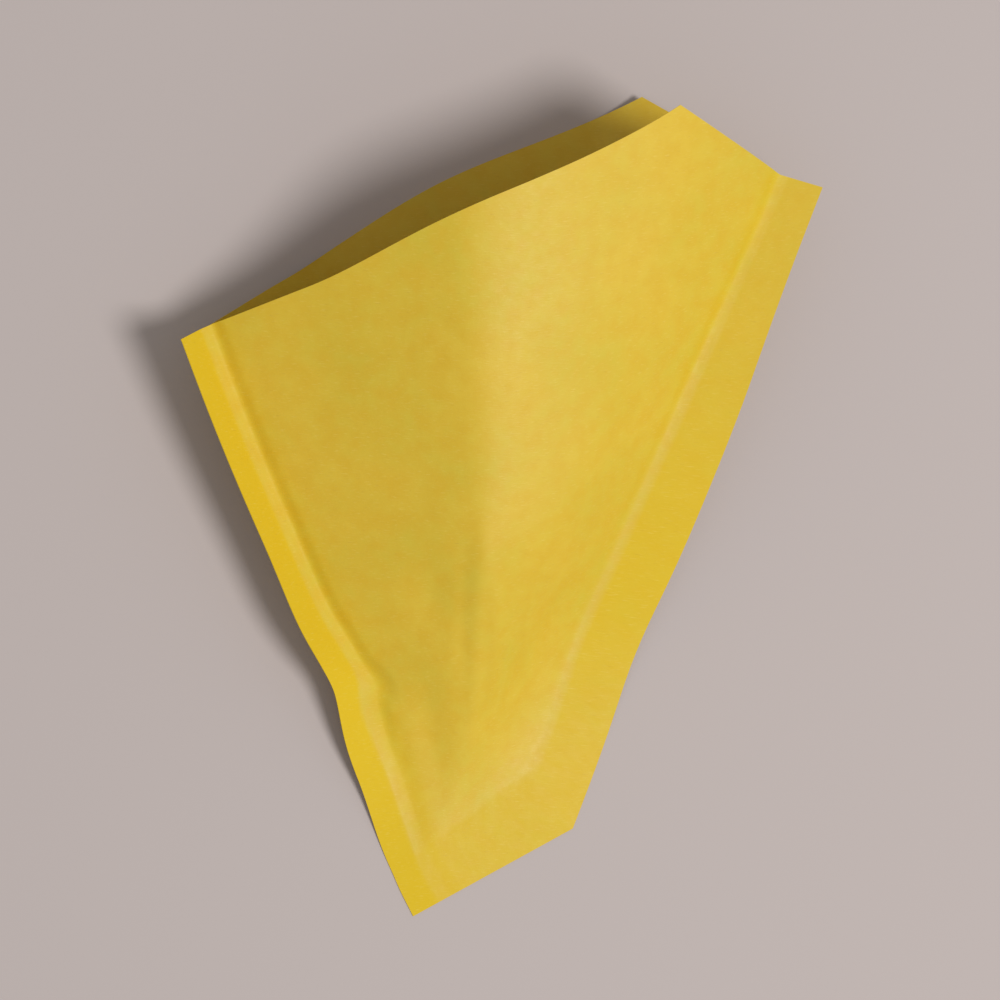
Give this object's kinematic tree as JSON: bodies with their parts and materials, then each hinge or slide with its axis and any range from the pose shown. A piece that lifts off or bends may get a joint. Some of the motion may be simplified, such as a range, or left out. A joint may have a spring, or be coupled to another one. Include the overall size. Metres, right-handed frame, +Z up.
{
  "type": "paper cone bag",
  "caption": "Takeaway cone bag of straw paper with a slanted, peaked mouth, flat sealed side seams and a narrow sealed foot, lying open on its back panel.",
  "frame": {"origin": "centre of the bounding box in plan, on the resting plane of the back panel", "axes": "+Y from the sealed foot to the open mouth, +Z up from the back panel to the arched front panel, +X towards the side with the higher corner"},
  "size_m": [0.2048, 0.263, 0.0623],
  "materials": {
    "straw_paper": "uncoated straw-yellow food paper with a soft sheen and fine fibres"
  },
  "bodies": {
    "root": {"cone_bag": "straw_paper"}
  },
  "joints": []
}
